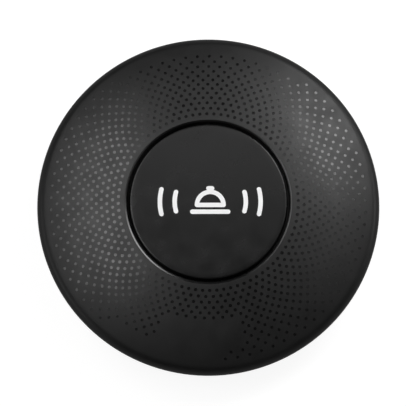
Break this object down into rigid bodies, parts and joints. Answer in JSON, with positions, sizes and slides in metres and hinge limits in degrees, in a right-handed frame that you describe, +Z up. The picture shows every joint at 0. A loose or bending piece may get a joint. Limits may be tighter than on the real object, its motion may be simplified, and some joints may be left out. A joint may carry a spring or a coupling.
{
  "type": "waiter call button",
  "caption": "Low round wireless call button for a table or counter: domed dotted cover, large press button with a bell sign, membrane, switch board, coin cell and twist-lock battery door.",
  "frame": {"origin": "centre of the footprint, on the plane under the rubber feet", "axes": "+Z up through the press button, -Y towards the user (the sign reads upright from there), +X to the user's right"},
  "size_m": [0.08, 0.08, 0.0191],
  "materials": {
    "cover_black": "matte",
    "button_black": "satin",
    "base_black": "matte",
    "frame_grey": "matte",
    "silicone_grey": "satin",
    "seal_black": "matte",
    "foot_rubber": "matte",
    "screw_steel": "plated",
    "spring_steel": "polished",
    "board_green": "solder mask",
    "switch_black": "matte",
    "switch_metal": "tinned",
    "chip_black": "matte",
    "crystal_metal": "plated",
    "chip_ceramic": "satin",
    "copper_wire": "enamelled copper",
    "cell_steel": "bright nickel",
    "cell_seal": "translucent",
    "contact_gold": "gold flash"
  },
  "bodies": {
    "housing": {"top_cover": "cover_black", "key_diaphragm": "silicone_grey", "clamp_frame": "frame_grey", "frame_screws": "screw_steel", "return_spring": "spring_steel", "circuit_board": "board_green", "board_screws": "screw_steel", "switch_body": "switch_black", "switch_cover": "switch_metal", "switch_leads": "switch_metal", "radio_chip": "chip_black", "crystal_can": "crystal_metal", "chip_parts": "chip_ceramic", "aerial_wire": "copper_wire", "battery_can": "cell_steel", "battery_seal": "cell_seal", "battery_cap": "cell_steel", "contact_negative": "contact_gold", "contact_positive": "contact_gold", "bottom_cover": "base_black", "case_seal": "seal_black", "rubber_feet": "foot_rubber", "case_screws": "screw_steel"},
    "button": {"button_cap": "button_black"},
    "plunger": {"switch_plunger": "switch_black"},
    "door": {"battery_door": "base_black", "door_seal": "seal_black"}
  },
  "joints": [
    {"name": "button_press", "type": "slide", "parent": "housing", "child": "button", "axis": [0, 0, -1], "range_m": [0, 0.001], "stiffness_N_per_m": 1000, "springref_m": -0.0005, "deforming": ["return_spring", "key_diaphragm"]},
    {"name": "plunger_press", "type": "slide", "parent": "housing", "child": "plunger", "axis": [0, 0, -1], "range_m": [0, 0.0003]},
    {"name": "door_turn", "type": "hinge", "parent": "housing", "child": "door", "pos_m": [0, 0, 0.002], "axis": [0, 0, -1], "range_deg": [0, 40]}
  ],
  "couplings": [
    {"joint": "plunger_press", "follows": "button_press", "ratio": 0.3}
  ]
}
